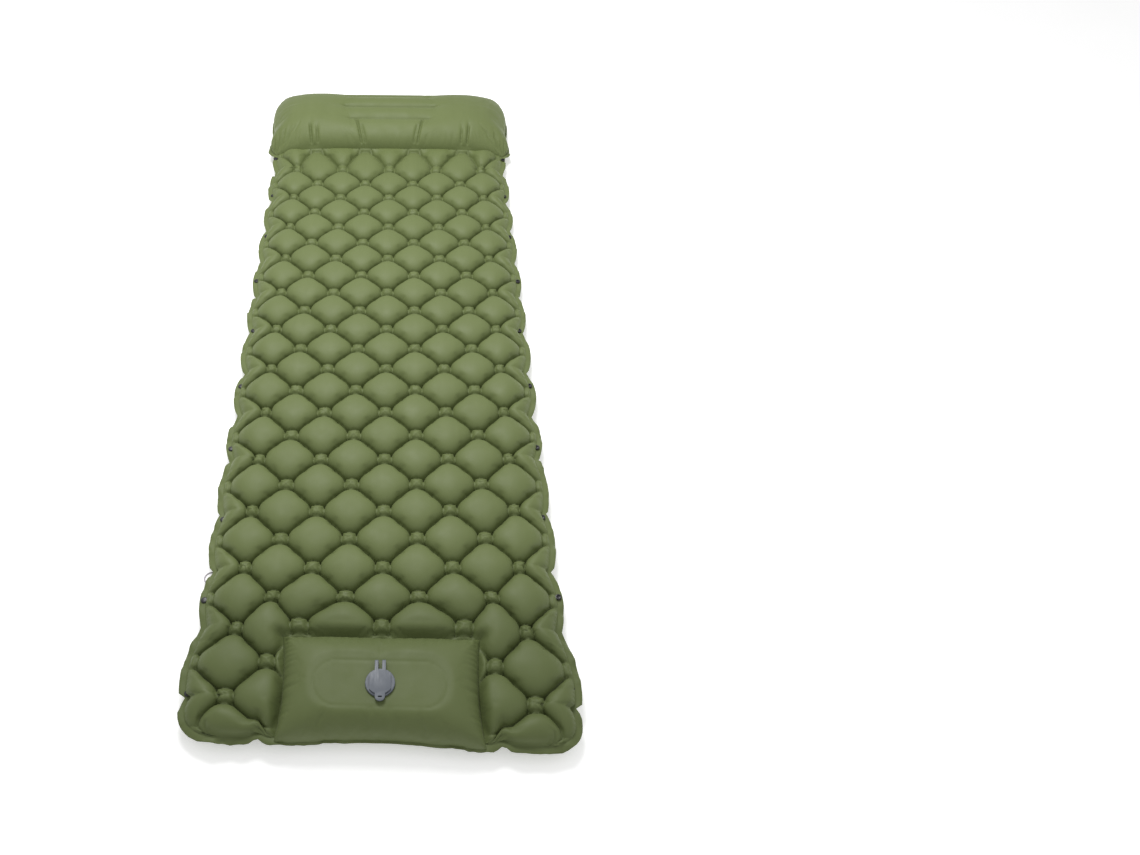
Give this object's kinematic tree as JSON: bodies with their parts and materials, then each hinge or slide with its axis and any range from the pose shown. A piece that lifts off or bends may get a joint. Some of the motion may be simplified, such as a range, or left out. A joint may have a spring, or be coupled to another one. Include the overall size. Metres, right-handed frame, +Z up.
{
  "type": "inflatable camping pad with pillow",
  "caption": "Long inflatable pad welded into puffed diamonds, with a raised pillow at one end, a foot pump with a capped valve at the other, and snaps on both edges.",
  "frame": {"origin": "middle of the pad, on the ground", "axes": "+Y towards the pillow end, +X to the sleeper's right seen from the foot, +Z up"},
  "size_m": [0.628, 1.866, 0.104],
  "materials": {
    "fabric": "satin coated nylon",
    "coating": "matte film",
    "foam": "open cell foam",
    "valve": "satin moulded",
    "membrane": "soft matte",
    "loop": "satin moulded",
    "snap": "gloss"
  },
  "bodies": {
    "pad": {"top_sheet": "fabric", "bottom_sheet": "fabric", "pillow_cover": "fabric", "pillow_baffle_front": "coating", "pillow_baffle_middle": "coating", "pillow_baffle_rear": "coating", "pump_skirt": "fabric", "pump_foam": "foam", "check_valve_body": "valve", "deflation_valve_body": "valve", "snap_stud_left_01": "snap", "snap_stud_left_02": "snap", "snap_stud_left_03": "snap", "snap_stud_left_04": "snap", "snap_stud_left_05": "snap", "snap_stud_left_06": "snap", "snap_stud_left_07": "snap", "snap_stud_left_08": "snap", "snap_stud_left_09": "snap", "snap_stud_left_10": "snap", "snap_stud_left_11": "snap", "snap_socket_right_01": "snap", "snap_socket_right_02": "snap", "snap_socket_right_03": "snap", "snap_socket_right_04": "snap", "snap_socket_right_05": "snap", "snap_socket_right_06": "snap", "snap_socket_right_07": "snap", "snap_socket_right_08": "snap", "snap_socket_right_09": "snap", "snap_socket_right_10": "snap", "snap_socket_right_11": "snap"},
    "pump_top": {"pump_panel": "fabric", "pump_panel_patch": "coating", "intake_valve_body": "valve"},
    "intake_cap": {"intake_cap": "valve", "intake_cap_seal": "membrane"},
    "intake_disc": {"intake_diaphragm": "membrane"},
    "check_flap": {"check_valve_flap": "membrane"},
    "deflation_cap": {"deflation_cap": "valve", "deflation_cap_loop": "loop"},
    "deflation_disc": {"deflation_diaphragm": "membrane"}
  },
  "joints": [
    {"name": "pump_press", "type": "slide", "parent": "pad", "child": "pump_top", "axis": [0, 0, -1], "range_m": [0, 0.03], "stiffness_N_per_m": 5000, "deforming": ["pump_skirt", "pump_foam"]},
    {"name": "intake_cap_hinge", "type": "hinge", "parent": "pump_top", "child": "intake_cap", "pos_m": [0, -0.81425, 0.07725], "axis": [-1, 0, 0], "range_deg": [0, 110]},
    {"name": "intake_disc_lift", "type": "slide", "parent": "pump_top", "child": "intake_disc", "axis": [0, 0, -1], "range_m": [0, 0.0025], "stiffness_N_per_m": 40},
    {"name": "check_flap_swing", "type": "hinge", "parent": "pad", "child": "check_flap", "pos_m": [0, -0.7411, 0.021], "axis": [1, 0, 0], "range_deg": [0, 50], "stiffness_Nm_per_rad": 0.001},
    {"name": "deflation_cap_hinge", "type": "hinge", "parent": "pad", "child": "deflation_cap", "pos_m": [-0.23, -0.621, 0.0104], "axis": [0, -1, 0], "range_deg": [0, 75]},
    {"name": "deflation_disc_lift", "type": "slide", "parent": "pad", "child": "deflation_disc", "axis": [0, 0, 1], "range_m": [0, 0.0025], "stiffness_N_per_m": 40}
  ]
}
